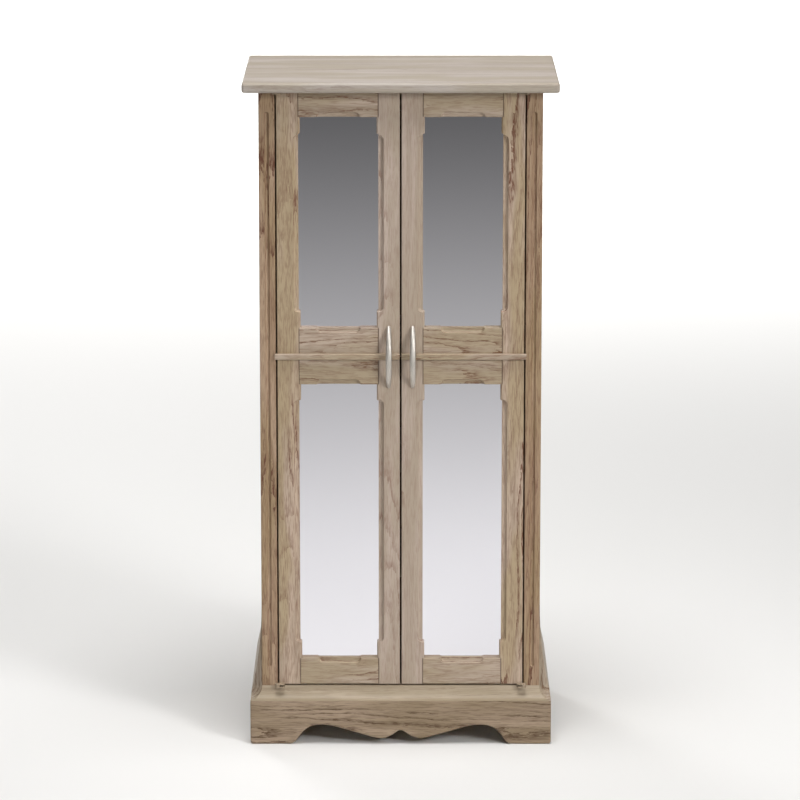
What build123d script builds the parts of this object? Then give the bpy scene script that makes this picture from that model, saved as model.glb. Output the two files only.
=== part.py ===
"""Two-door mirrored armoire, about one metre tall, in millimetres.

The origin is on the floor under the middle of the top slab. +Z is up, the doors face -Y and +X is
the right-hand side as a person stands in front of it.
"""

import os
from math import sqrt

from build123d import *

os.makedirs("parts", exist_ok=True)

# --- the whole cabinet -------------------------------------------------------------------------
overall_height = 1016.0
body_width = 423.0
slab_overhang = 24.0  # past the body at the front and at both sides; the back is flush
overall_depth = 320.0
slab_thickness = 15.0
slab_edge_radius = 4.0

half_body = body_width / 2
half_slab = half_body + slab_overhang
back_y = overall_depth / 2
slab_front_y = -back_y
front_y = slab_front_y + slab_overhang  # the plane of the doors and the face stiles
slab_bottom = overall_height - slab_thickness
edge_ease = 0.8  # the small chamfer on every sawn edge that a hand can reach

# --- plinth, moulding and flare ----------------------------------------------------------------
skirt_height = 68.0
skirt_thickness = 20.0
skirt_projection = 17.6  # past the body's front and sides
moulding_height = 20.0
moulding_projection = 17.0
deck_top = skirt_height + moulding_height
flare_radius = 600.0
flare_start = 215.0  # height at which the sides leave the vertical
flare_end = 74.0  # the flare runs straight down from here
half_skirt = half_body + skirt_projection
skirt_front_y = front_y - skirt_projection
moulding_front_y = front_y - moulding_projection
foot_round = 4.0
skirt_corner_round = 2.5

foot_inner_x = 171.0  # where the front foot's flat ends
arch_peak = (120.5, 30.3)
arch_slope_top = (91.5, 24.9)
arch_slope_foot = (45.7, 11.6)
lobe_low = (31.2, 8.8)
cusp_side = (4.5, 20.1)
cusp_top = 21.4
foot_bow = (153.5, 13.5)  # a point on the curve that rises from the foot
scallop_slope = 0.29  # the straight run between an arch and a lobe
cusp_slope = 0.75
skirt_top_round = 1.2

# --- carcass boards ------------------------------------------------------------------------------
side_thickness = 18.0
shelf_thickness = 16.0
back_thickness = 5.0
face_stile_width = 24.0
face_stile_thickness = 20.0
half_inside = half_body - side_thickness
dado_depth = 5.0
back_rebate = 9.0
inside_back_y = back_y - back_thickness
shelf_front_y = front_y + 36.0
middle_shelf_top = 608.0
top_rail_depth = 50.0
top_rail_thickness = 16.0
top_rail_front_y = front_y + 26.0

flute_radius = 3.5
flute_setback = 0.3  # the cutter's centre stands this far in front of the face
flute_low = 117.0
flute_high = 970.0

# --- doors ---------------------------------------------------------------------------------------
door_thickness = 20.0
door_gap = 2.2
half_centre_gap = 1.3
door_low = deck_top + 2.5
door_high = slab_bottom - 2.0
stile_width = 32.0
door_outer_x = half_body - face_stile_width - door_gap
outer_joint_x = door_outer_x - stile_width - 0.5
inner_joint_x = half_centre_gap + stile_width
opening_mid_x = (outer_joint_x + inner_joint_x) / 2
opening_width = outer_joint_x - inner_joint_x
door_back_y = front_y + door_thickness

upper_opening = (643.7, 962.2)
lower_opening = (131.0, 557.0)
mid_joint_z = 600.0
corner_bit_length = 25.5
corner_bit_width = 2.6
corner_bit_ease = 1.8
cove_width = 8.0
cove_depth = 5.0
cove_radius = 4.4
stile_cove_upper = (667.0, 936.0)
stile_cove_lower = (156.0, 534.0)
rail_cove_margin = 26.5  # from the stile to the start of a rail's cove

band_height = 9.0
band_projection = 6.0
band_end_x = half_body - face_stile_width + 1.3
band_relief = 0.6  # the band's outer end stands this far off the face stile
band_round = 1.8

mirror_setback = 10.0
mirror_thickness = 4.0
rebate_width = 6.5
mirror_play = 0.5
mirror_front_y = front_y + mirror_setback
backing_front_y = mirror_front_y + mirror_thickness

# --- hinges --------------------------------------------------------------------------------------
hinge_x = half_body - face_stile_width
hinge_y = front_y - 5.0
leaf_thickness = 2.0
leaf_nose_radius = 3.6
leaf_strip_width = 10.0
leaf_strip_end_x = 138.0
leaf_neck_x = hinge_x - 7.2
leaf_strip_y = front_y + door_thickness / 2
hinge_pin_radius = 1.5
hinge_clearance = 0.06
washer_radius = 3.4
hinge_screw_x = (146.0, 168.0)

# --- handle --------------------------------------------------------------------------------------
handle_x = 18.0
handle_z = 599.0
handle_length = 95.0
handle_reach = 22.0
handle_width = 8.6
handle_end_width = 6.4
handle_grip_length = 68.0
handle_grip_reach = 16.4
handle_screw_spacing = 80.0
handle_screw_radius = 2.0
handle_screw_entry = 4.0  # how far a screw enters the handle's foot
handle_round = 1.2

# --- small hardware ------------------------------------------------------------------------------
button_size = (24.0, 9.0, 2.0)
button_setback = 6.0  # from the mirror's rebate to the button's screw
button_screw_end = 5.0  # from the button's end to its screw
small_screw_radius = 1.25
small_screw_length = 10.0
screw_point = 2.0
top_screw_radius = 2.0
top_head_radius = 4.0
top_screw_grip = 9.0  # how far the top screws enter the slab
catch_size = (26.0, 20.0, 12.0)
catch_x = 17.3
catch_gap = 0.3
catch_pole = 0.6  # how far the pole plates stand out of the housing
catch_flange = 3.0
catch_flange_depth = 10.0
catch_screw_offset = 7.0
pole_size = (18.0, 1.6)
pole_offset = 2.5  # above and below the middle of the housing
strike_thickness = 1.5
strike_size = (24.0, 12.0)
plate_corner = 2.0
pin_radius = 2.5
pin_length = 16.0
pin_hole_depth = 8.5
pin_pitch = 32.0
hook_wire_radius = 1.75
hook_count = 6
hook_spacing = 52.0
hook_rail_z = 945.0
hook_rail_size = (330.0, 12.0, 28.0)
hook_drop_z = hook_rail_z - 4.0
hook_rail_ease = 1.5
hook_grip = 8.0
hook_reach = 16.0
hook_bend = 6.0
hook_tip = 7.0
nail_radius = 0.9
nail_length = 18.0
nail_head_radius = 2.2
nail_head_height = 0.6
nail_side_x = half_body - back_rebate - 4.5
nail_side_heights = [100.0 + 111.0 * step for step in range(9)]
nail_row_x = [75.0 * step for step in range(-2, 3)]
nail_bottom_z = deck_top - shelf_thickness / 2
nail_top_z = slab_bottom - top_rail_thickness / 2

adjustable_shelf_tops = (264.0, 428.0)
pin_columns_y = (-70.0, 122.0)


def save(part, label):
    """Label a finished piece and write its file."""
    part.label = label
    export_step(part, f"parts/{label}.step")


def save_pair(part, label):
    """Write the right-hand piece and its mirror image for the left-hand side."""
    save(part, f"{label}_right")
    save(mirror(part, about=Plane.YZ), f"{label}_left")


def save_door_pair(part, label):
    """Write a piece of the right door and its mirror image for the left door."""
    save(part, f"right_door_{label}")
    save(mirror(part, about=Plane.YZ), f"left_door_{label}")


def block(low, high):
    """A plain block between two corners, used as a blank or as a cutter."""
    with BuildPart() as made:
        with Locations([tuple((a + b) / 2 for a, b in zip(low, high))]):
            Box(*(b - a for a, b in zip(low, high)))
    return made.part


def board(low, high, ease=edge_ease):
    """A sawn board whose long edges are eased."""
    spans = [b - a for a, b in zip(low, high)]
    long_axis = (Axis.X, Axis.Y, Axis.Z)[spans.index(max(spans))]
    with BuildPart() as made:
        add(block(low, high))
        chamfer(made.edges().filter_by(long_axis), ease)
    return made.part


def wood_screw(head_radius, shank_radius, length, head_height):
    """A countersunk screw that points up from z = 0, with its flat head at the bottom."""
    with BuildPart() as made:
        with BuildSketch(Plane.XZ):
            with BuildLine():
                Polyline(
                    (0, 0), (head_radius, 0), (shank_radius, head_height), (shank_radius, length - screw_point),
                    (0, length), close=True,
                )
            make_face()
        revolve(axis=Axis.Z)
    return made.part


def small_screws(spots, length=small_screw_length):
    """Small countersunk screws: each spot is a point on the plate's face and a turn."""
    screw = wood_screw(2 * small_screw_radius, small_screw_radius, length, small_screw_radius)
    with BuildPart() as made:
        with Locations([Location(point, turn) for point, turn in spots]):
            add(screw)
    return made.part


UP = (0, 0, 0)
DOWN = (180, 0, 0)
INTO_BACK = (90, 0, 0)  # from behind a door towards its face

with BuildPart() as one_nail:
    with Locations((0, back_y - nail_length / 2, 0)):
        Cylinder(nail_radius, nail_length, rotation=(90, 0, 0))
    with Locations((0, back_y - nail_head_height / 2, 0)):
        Cylinder(nail_head_radius, nail_head_height, rotation=(90, 0, 0))
nail = one_nail.part
side_nail_spots = [(nail_side_x, 0, z) for z in nail_side_heights]
bottom_nail_spots = [(x, 0, nail_bottom_z) for x in nail_row_x]
top_nail_spots = [(x, 0, nail_top_z) for x in nail_row_x]
all_nail_spots = (
    side_nail_spots + [(-x, y, z) for x, y, z in side_nail_spots] + bottom_nail_spots + top_nail_spots
)

# --- top slab ------------------------------------------------------------------------------------
top_screw_x = (-150.0, 0.0, 150.0)
top_rail_middles_y = (
    top_rail_front_y + top_rail_depth / 2,
    inside_back_y - top_rail_depth / 2,
)
top_screw_spots = [(x, y) for x in top_screw_x for y in top_rail_middles_y]
top_screw_start = slab_bottom - top_rail_thickness
top_screw = wood_screw(
    top_head_radius, top_screw_radius, top_rail_thickness + top_screw_grip, top_head_radius - top_screw_radius
)
catch_front_y = door_back_y + strike_thickness + catch_gap
catch_low_z = top_screw_start - catch_size[2]
flange_back_y = catch_front_y + catch_size[1] + catch_flange_depth
flange_middle_y = flange_back_y - catch_flange_depth / 2
cabinet_screws = small_screws(
    [
        ((sign * x, leaf_strip_y, z), turn)
        for z, turn in ((slab_bottom, UP), (deck_top, DOWN))
        for x in hinge_screw_x
        for sign in (-1, 1)
    ]
    + [
        ((sign * catch_x + offset, flange_middle_y, top_screw_start - catch_flange), UP)
        for sign in (-1, 1)
        for offset in (-catch_screw_offset, catch_screw_offset)
    ]
)
save(cabinet_screws, "cabinet_screws")


def hinge_leaf_blank(z_low, z_high):
    """The outline of a knife hinge leaf: a nose round the pivot, a neck and a strip, right side."""
    with BuildPart() as made:
        with BuildSketch(Plane.XY.offset(z_low)):
            with Locations(((hinge_x + leaf_neck_x) / 2, hinge_y)):
                SlotCenterToCenter(hinge_x - leaf_neck_x, 2 * leaf_nose_radius)
            with Locations((leaf_neck_x, (hinge_y + leaf_strip_y) / 2)):
                Rectangle(2 * leaf_nose_radius, leaf_strip_y - hinge_y)
            with Locations(((leaf_neck_x + leaf_nose_radius + leaf_strip_end_x) / 2, leaf_strip_y)):
                RectangleRounded(
                    leaf_neck_x + leaf_nose_radius - leaf_strip_end_x, leaf_strip_width, plate_corner
                )
        extrude(amount=z_high - z_low)
    return made.part


top_leaf_pocket = hinge_leaf_blank(slab_bottom, slab_bottom + leaf_thickness)
bottom_leaf_pocket = hinge_leaf_blank(deck_top - leaf_thickness, deck_top)

with BuildPart() as top_slab:
    add(block((-half_slab, slab_front_y, slab_bottom), (half_slab, back_y, overall_height)))
    fillet(top_slab.edges().filter_by(Axis.Z).group_by(Axis.Y)[0], slab_edge_radius)
    rim = top_slab.edges().group_by(Axis.Z)[0] + top_slab.edges().group_by(Axis.Z)[-1]
    fillet(rim.filter_by(lambda edge: edge.center().Y < back_y - 0.1), slab_edge_radius)
    with Locations([(x, y, top_screw_start) for x, y in top_screw_spots]):
        add(top_screw, mode=Mode.SUBTRACT)
    add(cabinet_screws, mode=Mode.SUBTRACT)
    add(top_leaf_pocket, mode=Mode.SUBTRACT)
    add(mirror(top_leaf_pocket, about=Plane.YZ), mode=Mode.SUBTRACT)
save(top_slab.part, "top_slab")

# --- the moulding's cove, and the canted corner that dies into it --------------------------------


def cove_offset(z):
    """How far the base moulding stands out at a height: a hollow quarter, steep at the top."""
    drop = (deck_top - z) / moulding_height
    return moulding_projection * (1 - sqrt(max(0.0, 1 - drop * drop)))


cove_heights = [deck_top - moulding_height * step / 6 for step in range(7)]

with BuildPart() as corner_cant:
    with BuildSketch(Plane.XZ.offset(-front_y)):
        with BuildLine():
            Line((half_body, flare_start + 20), (half_body, deck_top))
            Spline([(half_body + 2 * cove_offset(z), z) for z in cove_heights])
            Polyline(
                (half_body + 2 * moulding_projection, skirt_height),
                (half_body + 90, skirt_height),
                (half_body + 90, flare_start + 20),
                (half_body, flare_start + 20),
            )
        make_face()
    extrude(amount=90, dir=(1, 1, 0))
    extrude(corner_cant.faces().sort_by(Axis.Y)[0], amount=90, dir=(-1, -1, 0))

with BuildPart() as mitre_wedge:
    with BuildSketch(Plane.XY.offset(skirt_height)):
        Polygon(
            (half_inside - 10, front_y),
            (half_body, front_y),
            (half_body + 40, front_y - 40),
            (half_inside - 10, front_y - 40),
            align=None,
        )
    extrude(amount=moulding_height)

# --- side panels ---------------------------------------------------------------------------------
flare_reach = flare_radius - sqrt(flare_radius**2 - (flare_start - flare_end) ** 2)
flare_bow_z = (flare_start + flare_end) / 2
flare_bow = flare_radius - sqrt(flare_radius**2 - (flare_start - flare_bow_z) ** 2)

pin_hole_spots = [
    (half_inside + pin_hole_depth / 2, y, top - shelf_thickness - pin_radius + step * pin_pitch)
    for top in adjustable_shelf_tops
    for y in pin_columns_y
    for step in (-1, 0, 1)
]

with BuildPart() as side_panel:
    with BuildSketch(Plane.XZ.offset(-back_y)):
        with BuildLine():
            Polyline(
                (half_body, flare_start), (half_body, slab_bottom), (half_inside, slab_bottom),
                (half_inside, skirt_height), (half_body + flare_reach, skirt_height),
                (half_body + flare_reach, flare_end),
            )
            ThreePointArc(
                (half_body + flare_reach, flare_end),
                (half_body + flare_bow, flare_bow_z),
                (half_body, flare_start),
            )
        make_face()
    extrude(amount=back_y - moulding_front_y)
    add(
        block((half_inside - 1, moulding_front_y - 1, deck_top), (half_skirt, front_y, slab_bottom)),
        mode=Mode.SUBTRACT,
    )
    add(
        block((half_inside - 1, front_y - 1, deck_top), (half_body, door_back_y, slab_bottom)),
        mode=Mode.SUBTRACT,
    )
    add(mitre_wedge.part, mode=Mode.SUBTRACT)
    add(corner_cant.part, mode=Mode.SUBTRACT)
    add(
        block((half_inside - 1, inside_back_y, skirt_height), (half_body - back_rebate, back_y, slab_bottom)),
        mode=Mode.SUBTRACT,
    )
    for shelf_top in (middle_shelf_top, deck_top):
        add(
            block(
                (half_inside, shelf_front_y, shelf_top - shelf_thickness),
                (half_inside + dado_depth, inside_back_y, shelf_top),
            ),
            mode=Mode.SUBTRACT,
        )
    with Locations([Location(spot, (0, 90, 0)) for spot in pin_hole_spots]):
        Cylinder(pin_radius, pin_hole_depth, mode=Mode.SUBTRACT)
    with Locations(side_nail_spots):
        add(nail, mode=Mode.SUBTRACT)
save_pair(side_panel.part, "side_panel")

# --- face stiles with their stopped flutes -------------------------------------------------------
face_stile_mid_x = half_body - face_stile_width / 2

with BuildPart() as face_stile:
    add(board((hinge_x, front_y, deck_top), (half_body, door_back_y, slab_bottom)))
    flute_y = front_y - flute_setback
    with Locations((face_stile_mid_x, flute_y, (flute_low + flute_high) / 2)):
        Cylinder(flute_radius, flute_high - flute_low - 2 * flute_radius, mode=Mode.SUBTRACT)
    with Locations(
        (face_stile_mid_x, flute_y, flute_low + flute_radius),
        (face_stile_mid_x, flute_y, flute_high - flute_radius),
    ):
        Sphere(flute_radius, mode=Mode.SUBTRACT)
save_pair(face_stile.part, "face_stile")

# --- base moulding, mitred to the flared sides ---------------------------------------------------
with BuildPart() as base_moulding:
    with BuildSketch(Plane.YZ.offset(-half_skirt)):
        with BuildLine():
            Spline([(front_y - cove_offset(z), z) for z in cove_heights])
            Polyline(
                (moulding_front_y, skirt_height), (door_back_y, skirt_height),
                (door_back_y, deck_top), (front_y, deck_top),
            )
        make_face()
    extrude(amount=2 * half_skirt)
    for sign in (-1, 1):
        beyond = block(
            (half_inside, front_y, skirt_height - 1), (half_skirt + 1, door_back_y + 1, deck_top + 1)
        )
        add(beyond if sign > 0 else mirror(beyond, about=Plane.YZ), mode=Mode.SUBTRACT)
        with BuildPart(mode=Mode.PRIVATE) as outside_mitre:
            with BuildSketch(Plane.XY.offset(skirt_height - 1)):
                Polygon(
                    (half_body, front_y),
                    (half_body + 40, front_y - 40),
                    (half_body + 40, front_y),
                    align=None,
                )
            extrude(amount=moulding_height + 2)
        cut = outside_mitre.part if sign > 0 else mirror(outside_mitre.part, about=Plane.YZ)
        add(cut, mode=Mode.SUBTRACT)
    add(bottom_leaf_pocket, mode=Mode.SUBTRACT)
    add(mirror(bottom_leaf_pocket, about=Plane.YZ), mode=Mode.SUBTRACT)
    add(cabinet_screws, mode=Mode.SUBTRACT)
save(base_moulding.part, "base_moulding")

# --- skirt: the front board is scalloped, the side boards stand on two feet -----------------------
with BuildPart() as skirt_front:
    with BuildSketch(Plane.XZ.offset(-skirt_front_y)):
        with BuildLine():
            Line((half_skirt, skirt_height), (half_skirt, 0))
            Line((half_skirt, 0), (foot_inner_x, 0))
            Spline(
                [(foot_inner_x, 0), foot_bow, arch_peak],
                tangents=[(-1, 0), (-1, 0)],
            )
            Spline([arch_peak, arch_slope_top], tangents=[(-1, 0), (-1, -scallop_slope)])
            Line(arch_slope_top, arch_slope_foot)
            Spline([arch_slope_foot, lobe_low], tangents=[(-1, -scallop_slope), (-1, 0)])
            Spline([lobe_low, cusp_side], tangents=[(-1, 0), (-1, cusp_slope)])
            Spline([cusp_side, (0, cusp_top)], tangents=[(-1, cusp_slope), (-1, 0)])
            Line((0, cusp_top), (0, skirt_height))
            Line((0, skirt_height), (half_skirt, skirt_height))
        make_face()
        mirror(about=Plane.YZ)
    extrude(amount=-skirt_thickness)
    foot_corners = skirt_front.edges().filter_by(Axis.Y).group_by(Axis.Z)[0]
    fillet([edge for edge in foot_corners if abs(edge.center().X) > half_skirt - 1], foot_round)
    outer_corners = skirt_front.edges().filter_by(Axis.Z).group_by(Axis.Y)[0]
    fillet([edge for edge in outer_corners if abs(edge.center().X) > half_skirt - 1], skirt_corner_round)
    top_front = skirt_front.edges().filter_by(Axis.X).group_by(Axis.Z)[-1].sort_by(Axis.Y)[0]
    fillet(top_front, skirt_top_round)
save(skirt_front.part, "skirt_front")

side_foot = 62.0
side_arch_height = 30.0
side_arch_run = 34.0
skirt_side_top_round = 0.6
skirt_side_front_y = skirt_front_y + skirt_thickness

with BuildPart() as skirt_side:
    with BuildSketch(Plane.YZ.offset(half_skirt - skirt_thickness)):
        with BuildLine():
            Line((skirt_side_front_y, 0), (skirt_side_front_y, skirt_height))
            Line((skirt_side_front_y, skirt_height), (back_y, skirt_height))
            Line((back_y, skirt_height), (back_y, 0))
            Line((back_y, 0), (back_y - side_foot, 0))
            Spline(
                [(back_y - side_foot, 0), (back_y - side_foot - side_arch_run, side_arch_height)],
                tangents=[(-1, 0), (-1, 0)],
            )
            Line(
                (back_y - side_foot - side_arch_run, side_arch_height),
                (skirt_side_front_y + side_foot + side_arch_run - skirt_thickness, side_arch_height),
            )
            Spline(
                [
                    (skirt_side_front_y + side_foot + side_arch_run - skirt_thickness, side_arch_height),
                    (skirt_side_front_y + side_foot - skirt_thickness, 0),
                ],
                tangents=[(-1, 0), (-1, 0)],
            )
            Line((skirt_side_front_y + side_foot - skirt_thickness, 0), (skirt_side_front_y, 0))
        make_face()
    extrude(amount=skirt_thickness)
    bottom_outer = skirt_side.edges().filter_by(Axis.Y).group_by(Axis.Z)[0].group_by(Axis.X)[-1]
    fillet(bottom_outer, foot_round)
    top_outer = skirt_side.edges().filter_by(Axis.Y).group_by(Axis.Z)[-1].sort_by(Axis.X)[-1]
    fillet(top_outer, skirt_side_top_round)
save_pair(skirt_side.part, "skirt_side")

inner_skirt_x = half_skirt - skirt_thickness
skirt_back = board(
    (-inner_skirt_x, back_y - skirt_thickness, side_arch_height), (inner_skirt_x, back_y, skirt_height)
)
save(skirt_back, "skirt_back")

block_leg = 32.0
block_foot_z = side_arch_height + 4.0
with BuildPart() as glue_blocks:
    for end_y, way in ((skirt_side_front_y, 1), (back_y - skirt_thickness, -1)):
        for sign in (-1, 1):
            with BuildSketch(Plane.XY.offset(block_foot_z)):
                Polygon(
                    (sign * inner_skirt_x, end_y),
                    (sign * (inner_skirt_x - block_leg), end_y),
                    (sign * inner_skirt_x, end_y + way * block_leg),
                    align=None,
                )
            extrude(amount=skirt_height - block_foot_z)
save(glue_blocks.part, "glue_blocks")

# --- boards inside the carcass -------------------------------------------------------------------
shelf_half = half_inside + dado_depth
with BuildPart() as bottom_board:
    add(
        block(
            (-shelf_half, shelf_front_y, deck_top - shelf_thickness), (shelf_half, inside_back_y, deck_top)
        )
    )
    add(
        block(
            (-half_inside, door_back_y, deck_top - shelf_thickness), (half_inside, shelf_front_y, deck_top)
        )
    )
    with Locations(bottom_nail_spots):
        add(nail, mode=Mode.SUBTRACT)
save(bottom_board.part, "bottom_board")

middle_shelf = board(
    (-shelf_half, shelf_front_y, middle_shelf_top - shelf_thickness),
    (shelf_half, inside_back_y, middle_shelf_top),
)
save(middle_shelf, "middle_shelf")

for shelf_name, shelf_top in zip(("lower_shelf", "upper_shelf"), adjustable_shelf_tops):
    loose_shelf = board(
        (-half_inside + 1, shelf_front_y + 4, shelf_top - shelf_thickness),
        (half_inside - 1, inside_back_y - 2, shelf_top),
    )
    save(loose_shelf, shelf_name)

with BuildPart() as back_panel:
    add(
        block(
            (-half_body + back_rebate, inside_back_y, skirt_height),
            (half_body - back_rebate, back_y, slab_bottom),
        )
    )
    with Locations(all_nail_spots):
        add(nail, mode=Mode.SUBTRACT)
save(back_panel.part, "back_panel")

with BuildPart() as back_nails:
    with Locations(all_nail_spots):
        add(nail)
save(back_nails.part, "back_nails")


# --- magnetic catches under the top front rail, and the rails they screw to ------------------------
with BuildPart() as catch_housings:
    for sign in (-1, 1):
        left_x = sign * catch_x - catch_size[0] / 2
        right_x = sign * catch_x + catch_size[0] / 2
        add(
            block(
                (left_x, catch_front_y + catch_pole, catch_low_z),
                (right_x, catch_front_y + catch_size[1], top_screw_start),
            )
        )
        add(
            block(
                (left_x, catch_front_y + catch_size[1], top_screw_start - catch_flange),
                (right_x, flange_back_y, top_screw_start),
            )
        )
    upright = catch_housings.edges().filter_by(Axis.Z)
    fillet(upright.group_by(Axis.Y)[0] + upright.group_by(Axis.Y)[-1], plate_corner)
    add(cabinet_screws, mode=Mode.SUBTRACT)
save(catch_housings.part, "catch_housings")

with BuildPart() as catch_poles:
    for sign in (-1, 1):
        for level in (-pole_offset, pole_offset):
            pole_z = catch_low_z + catch_size[2] / 2 + level
            with Locations((sign * catch_x, catch_front_y + catch_pole / 2, pole_z)):
                Box(pole_size[0], catch_pole, pole_size[1])
save(catch_poles.part, "catch_poles")

for rail_name, rail_y in zip(("top_front_rail", "top_rear_rail"), top_rail_middles_y):
    with BuildPart() as top_rail:
        add(
            board(
                (-half_inside, rail_y - top_rail_depth / 2, top_screw_start),
                (half_inside, rail_y + top_rail_depth / 2, slab_bottom),
            )
        )
        with Locations([(x, y, top_screw_start) for x, y in top_screw_spots if y == rail_y]):
            add(top_screw, mode=Mode.SUBTRACT)
        if rail_y > 0:
            with Locations(top_nail_spots):
                add(nail, mode=Mode.SUBTRACT)
        else:
            add(cabinet_screws, mode=Mode.SUBTRACT)
    save(top_rail.part, rail_name)

with BuildPart() as top_screws:
    with Locations([(x, y, top_screw_start) for x, y in top_screw_spots]):
        add(top_screw)
save(top_screws.part, "top_screws")

with BuildPart() as shelf_pins:
    for shelf_top in adjustable_shelf_tops:
        for pin_y in pin_columns_y:
            for sign in (-1, 1):
                pin_x = sign * (half_inside + pin_hole_depth - pin_length / 2)
                pin_z = shelf_top - shelf_thickness - pin_radius
                with Locations(Location((pin_x, pin_y, pin_z), (0, 90, 0))):
                    Cylinder(pin_radius, pin_length)
save(shelf_pins.part, "shelf_pins")

# --- hook rail for necklaces ---------------------------------------------------------------------
rail_front_y = inside_back_y - hook_rail_size[1]
hook_x = [(step - (hook_count - 1) / 2) * hook_spacing for step in range(hook_count)]
hook_rail = board(
    (-hook_rail_size[0] / 2, rail_front_y, hook_rail_z - hook_rail_size[2] / 2),
    (hook_rail_size[0] / 2, inside_back_y, hook_rail_z + hook_rail_size[2] / 2),
    hook_rail_ease,
)
with BuildPart() as drilled_hook_rail:
    add(hook_rail)
    with Locations([Location((x, rail_front_y + hook_grip / 2, hook_drop_z), (90, 0, 0)) for x in hook_x]):
        Cylinder(hook_wire_radius, hook_grip, mode=Mode.SUBTRACT)
save(drilled_hook_rail.part, "hook_rail")

with BuildPart() as one_hook:
    with BuildLine(Plane.YZ) as hook_path:
        hook_shank = Line((rail_front_y + hook_grip, hook_drop_z), (rail_front_y - hook_reach, hook_drop_z))
        hook_turn = JernArc(hook_shank @ 1, hook_shank % 1, hook_bend, -90)
        Line(hook_turn @ 1, hook_turn @ 1 + hook_turn % 1 * hook_tip)
    with BuildSketch(Plane(hook_path.line @ 0, z_dir=hook_path.line % 0)):
        Circle(hook_wire_radius)
    sweep()
    with Locations(hook_path.line @ 1):
        Sphere(hook_wire_radius)
with BuildPart() as necklace_hooks:
    with Locations([(x, 0, 0) for x in hook_x]):
        add(one_hook.part)
save(necklace_hooks.part, "necklace_hooks")

# --- knife hinges --------------------------------------------------------------------------------


def hinge_leaf(z_low, z_high, hole_radius, screws):
    """One leaf: the pivot end, the strip and two countersunk holes. Right-hand side."""
    with BuildPart() as made:
        add(hinge_leaf_blank(z_low, z_high))
        if hole_radius:
            with Locations((hinge_x, hinge_y, (z_low + z_high) / 2)):
                Cylinder(hole_radius, z_high - z_low, mode=Mode.SUBTRACT)
        add(screws, mode=Mode.SUBTRACT)
    return made.part


def pivot_leaf(z_low, z_high, pin_low, pin_high):
    """The cabinet's leaf, with the pivot pin riveted in its nose."""
    with BuildPart() as made:
        add(hinge_leaf(z_low, z_high, 0, cabinet_screws))
        with Locations((hinge_x, hinge_y, (pin_low + pin_high) / 2)):
            Cylinder(hinge_pin_radius, pin_high - pin_low)
    return made.part


upper_leaf = (door_high - leaf_thickness, door_high)
lower_leaf = (door_low, door_low + leaf_thickness)
cabinet_upper_leaf = pivot_leaf(
    slab_bottom, slab_bottom + leaf_thickness, door_high - leaf_thickness, slab_bottom + leaf_thickness
)
cabinet_lower_leaf = pivot_leaf(
    deck_top - leaf_thickness, deck_top, deck_top - leaf_thickness, door_low + leaf_thickness
)
with BuildPart() as cabinet_hinges:
    for leaf in (cabinet_upper_leaf, cabinet_lower_leaf):
        add(leaf)
        add(mirror(leaf, about=Plane.YZ))
save(cabinet_hinges.part, "cabinet_hinge_leaves")

with BuildPart() as hinge_washers:
    for z_low, z_high in ((door_high, slab_bottom), (deck_top, door_low)):
        for sign in (-1, 1):
            with Locations((sign * hinge_x, hinge_y, (z_low + z_high) / 2)):
                Cylinder(washer_radius, z_high - z_low)
                Cylinder(hinge_pin_radius, z_high - z_low, mode=Mode.SUBTRACT)
save(hinge_washers.part, "hinge_washers")

# --- doors: made as the right-hand door and mirrored ---------------------------------------------


def stopped_cove(run, plane):
    """A cutter for a stopped cove: a dish-ended slot, run long, centred on the board's edge."""
    half_run = run / 2 - cove_width
    floor = cove_width - cove_radius
    with BuildPart() as made:
        with BuildSketch(Plane.XZ):
            with BuildLine():
                Polyline((0, 1), (cove_width, 1), (cove_width, -(cove_depth - cove_radius)))
                RadiusArc(
                    (cove_width, -(cove_depth - cove_radius)), (floor, -cove_depth), cove_radius
                )
                Polyline((floor, -cove_depth), (0, -cove_depth), (0, 1))
            make_face()
        revolve(axis=Axis.Z)
    dish = made.part
    with BuildPart() as cutter:
        with Locations((half_run, 0, 0), (-half_run, 0, 0)):
            add(dish)
        profile = section(obj=dish, section_by=Plane.YZ, mode=Mode.PRIVATE)
        add(extrude(Pos(-half_run, 0, 0) * profile, 2 * half_run, dir=(1, 0, 0), mode=Mode.PRIVATE))
    return plane.location * cutter.part


def front_plane(x, z, along):
    """A plane on the door's face, looking out of it, with its x direction along the cut."""
    return Plane(origin=(x, front_y, z), x_dir=along, z_dir=(0, -1, 0))


opening_spans = (upper_opening, lower_opening)
leaf_pockets = (hinge_leaf_blank(*upper_leaf), hinge_leaf_blank(*lower_leaf))
handle_screw_z = [handle_z + sign * handle_screw_spacing / 2 for sign in (-1, 1)]
button_screw_x = (
    inner_joint_x - rebate_width - button_setback,
    outer_joint_x + rebate_width + button_setback,
)
button_heights = [low + part * (high - low) for low, high in opening_spans for part in (0.25, 0.75)]
button_spots = [(x, z) for x in button_screw_x for z in button_heights]
strike_z = catch_low_z + catch_size[2] / 2
door_screws = small_screws(
    [((x, leaf_strip_y, z), turn) for z, turn in ((door_high, DOWN), (door_low, UP)) for x in hinge_screw_x]
    + [((x, door_back_y + button_size[2], z), INTO_BACK) for x, z in button_spots]
    + [((catch_x, door_back_y + strike_thickness, strike_z), INTO_BACK)]
)
save_door_pair(door_screws, "small_screws")

door_leaf_hole = hinge_pin_radius + hinge_clearance
with BuildPart() as door_hinges:
    add(hinge_leaf(upper_leaf[0], upper_leaf[1], door_leaf_hole, door_screws))
    add(hinge_leaf(lower_leaf[0], lower_leaf[1], door_leaf_hole, door_screws))
save_door_pair(door_hinges.part, "hinge_leaves")

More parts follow.
